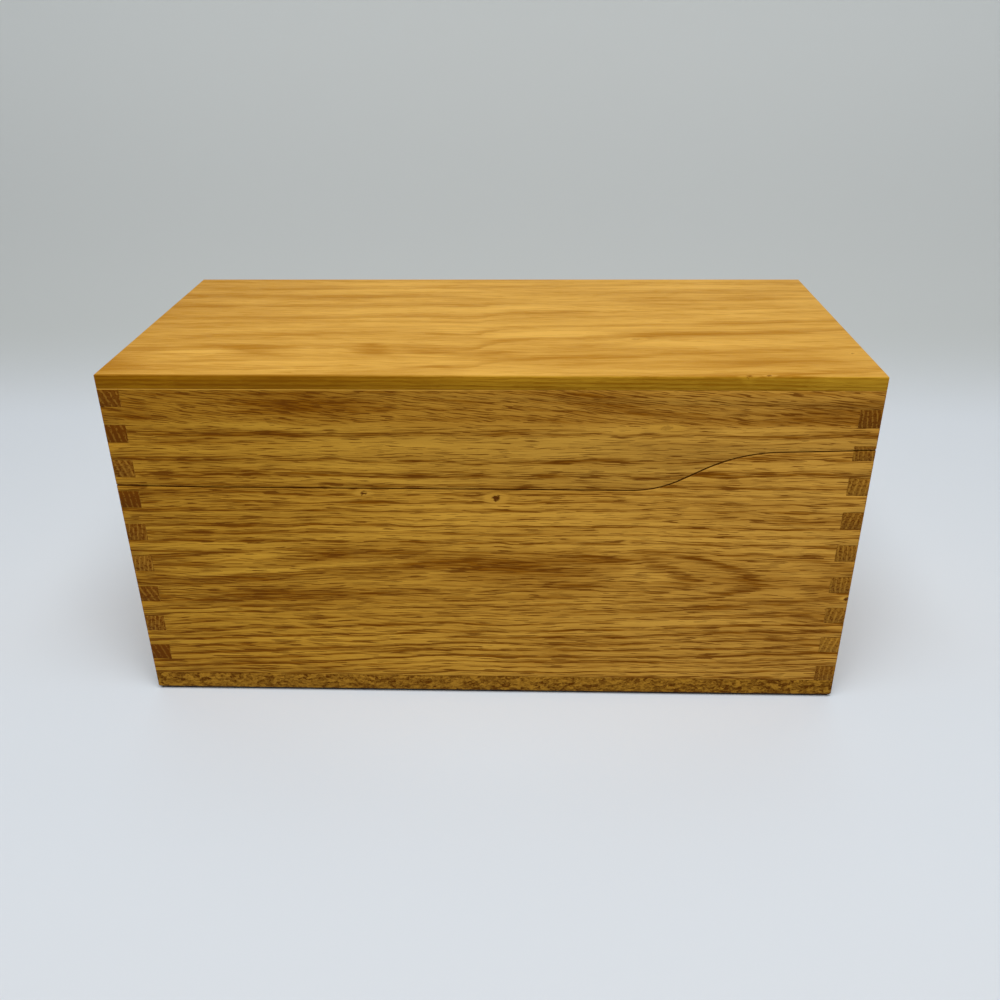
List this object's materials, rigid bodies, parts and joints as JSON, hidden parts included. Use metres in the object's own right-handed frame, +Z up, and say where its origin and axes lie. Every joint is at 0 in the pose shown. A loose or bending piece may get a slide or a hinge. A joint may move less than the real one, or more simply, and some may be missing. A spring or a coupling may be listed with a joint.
{
  "type": "recipe card box",
  "caption": "Long wooden card box with finger-jointed corners and a hinged lid that is sawn off along a wavy line.",
  "frame": {"origin": "centre of the underside of the felt that the box rests on, below the middle of the wooden box", "axes": "+X along the width to the right as seen from the front, +Y towards the back where the hinges are, +Z up"},
  "size_m": [0.3174, 0.1526, 0.1583],
  "materials": {
    "oak_wall": "oiled oak, face grain along the board",
    "oak_top": "oiled oak, face grain along the width",
    "particle_board": "raw particle board edge",
    "felt": "thin dark felt",
    "brass": "satin drawn brass",
    "steel_pin": "brass-plated steel wire"
  },
  "bodies": {
    "body": {"base_panel": "particle_board", "base_felt": "felt", "body_front": "oak_wall", "body_back": "oak_wall", "body_left_end": "oak_wall", "body_right_end": "oak_wall", "left_hinge_body_leaf": "brass", "right_hinge_body_leaf": "brass", "left_hinge_pin": "steel_pin", "right_hinge_pin": "steel_pin", "left_hinge_body_screws": "brass", "right_hinge_body_screws": "brass"},
    "lid": {"lid_top": "oak_top", "lid_front": "oak_wall", "lid_back": "oak_wall", "lid_left_end": "oak_wall", "lid_right_end": "oak_wall", "left_hinge_lid_leaf": "brass", "right_hinge_lid_leaf": "brass", "left_hinge_lid_screws": "brass", "right_hinge_lid_screws": "brass"}
  },
  "joints": [
    {"name": "lid_hinge", "type": "hinge", "parent": "body", "child": "lid", "pos_m": [0, 0.0765, 0.1075], "axis": [-1, 0, 0], "range_deg": [0, 180]}
  ]
}
